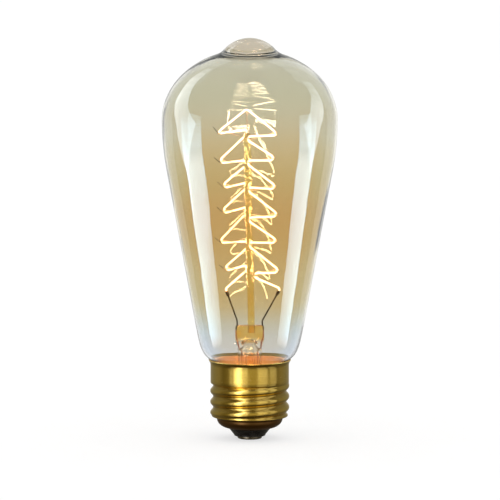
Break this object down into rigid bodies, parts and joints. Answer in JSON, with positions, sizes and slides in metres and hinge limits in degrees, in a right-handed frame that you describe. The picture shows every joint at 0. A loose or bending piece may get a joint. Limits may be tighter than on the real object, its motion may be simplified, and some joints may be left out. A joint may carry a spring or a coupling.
{
  "type": "light bulb",
  "caption": "Pear-shaped filament light bulb: clear amber glass with a pip, a tree-shaped coiled filament on a glass rod, and a brass screw base with an end contact.",
  "frame": {"origin": "centre of the end contact's face, on the lamp's axis", "axes": "+Z along the lamp's axis from the end contact to the pip; -Y is the side that the picture shows"},
  "size_m": [0.058, 0.058, 0.1331],
  "materials": {
    "amber_glass": "clear blown glass with a pale amber tint, polished",
    "stem_glass": "clear pressed and drawn glass, lit amber by the filament",
    "support_wire": "drawn wire, darkened by heat",
    "filament": "fine coiled wire, glowing",
    "lead_wire": "dark drawn wire",
    "copper_wire": "bare copper wire",
    "cement": "matt baked cement",
    "brass": "bright rolled brass with drawing lines, browned at the turned-in end",
    "black_glass": "glossy black glass",
    "contact_metal": "tarnished stamped metal",
    "solder": "dull lead-free solder"
  },
  "bodies": {
    "root": {"glass_envelope": "amber_glass", "stem_flare": "stem_glass", "stem_press": "stem_glass", "exhaust_tube": "stem_glass", "centre_rod": "stem_glass", "peak_hook": "support_wire", "supports_tier_1": "support_wire", "supports_tier_2": "support_wire", "supports_tier_3": "support_wire", "supports_tier_4": "support_wire", "supports_tier_5": "support_wire", "supports_tier_6": "support_wire", "filament": "filament", "lead_left": "lead_wire", "lead_right": "lead_wire", "seal_wire_left": "copper_wire", "seal_wire_right": "copper_wire", "shell_lead": "copper_wire", "contact_lead": "copper_wire", "basing_cement": "cement", "screw_shell": "brass", "insulator": "black_glass", "end_contact": "contact_metal", "contact_solder": "solder", "shell_solder": "solder"}
  },
  "joints": []
}
